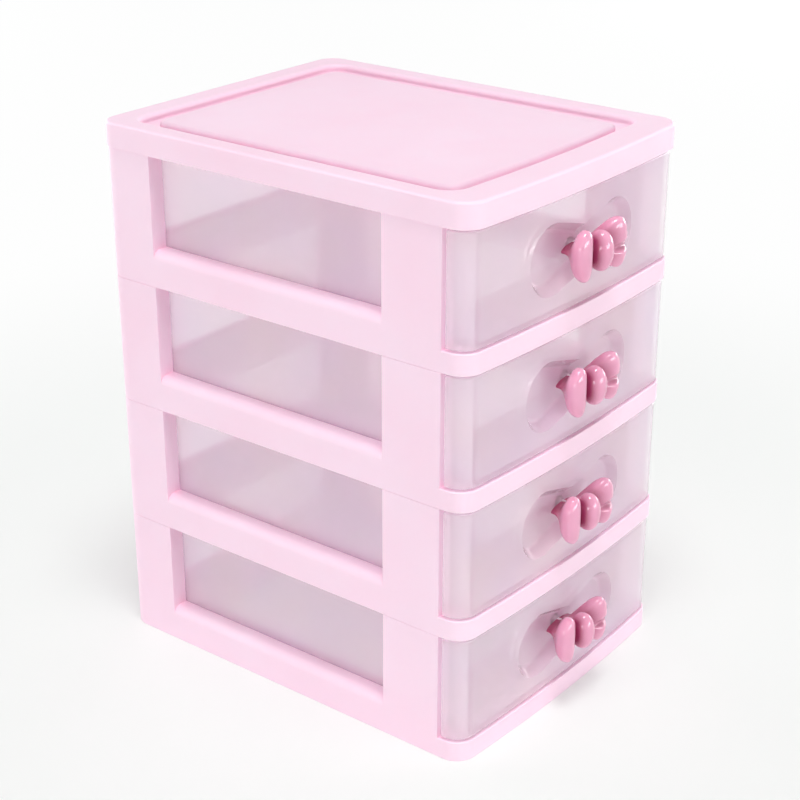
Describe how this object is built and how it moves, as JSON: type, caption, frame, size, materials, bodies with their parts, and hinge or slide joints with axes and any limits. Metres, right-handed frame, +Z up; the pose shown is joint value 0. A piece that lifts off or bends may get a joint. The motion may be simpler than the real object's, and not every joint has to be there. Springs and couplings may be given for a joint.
{
  "type": "desktop drawer organizer",
  "caption": "Desktop organizer of stacked open frames under a lid, with frosted pull-out drawers that have dished fronts and bow-shaped knobs.",
  "frame": {"origin": "on the table under the middle of the whole outline, knobs included", "axes": "+X to the right seen from the front, -Y the way the drawers open, +Z up"},
  "size_m": [0.1508, 0.2066, 0.24],
  "materials": {
    "frame_plastic": "satin moulded",
    "frosted_plastic": "frosted translucent",
    "knob_plastic": "gloss moulded",
    "screw_steel": "zinc plated"
  },
  "bodies": {
    "cabinet": {"tier_frame_1": "frame_plastic", "tier_frame_2": "frame_plastic", "tier_frame_3": "frame_plastic", "tier_frame_4": "frame_plastic", "lid": "frame_plastic"},
    "drawer_1": {"drawer_tray_1": "frosted_plastic", "bow_knob_1": "knob_plastic", "knob_screw_1": "screw_steel"},
    "drawer_2": {"drawer_tray_2": "frosted_plastic", "bow_knob_2": "knob_plastic", "knob_screw_2": "screw_steel"},
    "drawer_3": {"drawer_tray_3": "frosted_plastic", "bow_knob_3": "knob_plastic", "knob_screw_3": "screw_steel"},
    "drawer_4": {"drawer_tray_4": "frosted_plastic", "bow_knob_4": "knob_plastic", "knob_screw_4": "screw_steel"}
  },
  "joints": [
    {"name": "drawer_1_slide", "type": "slide", "parent": "cabinet", "child": "drawer_1", "axis": [0, -1, 0], "range_m": [0, 0.119]},
    {"name": "drawer_2_slide", "type": "slide", "parent": "cabinet", "child": "drawer_2", "axis": [0, -1, 0], "range_m": [0, 0.119]},
    {"name": "drawer_3_slide", "type": "slide", "parent": "cabinet", "child": "drawer_3", "axis": [0, -1, 0], "range_m": [0, 0.119]},
    {"name": "drawer_4_slide", "type": "slide", "parent": "cabinet", "child": "drawer_4", "axis": [0, -1, 0], "range_m": [0, 0.119]}
  ]
}
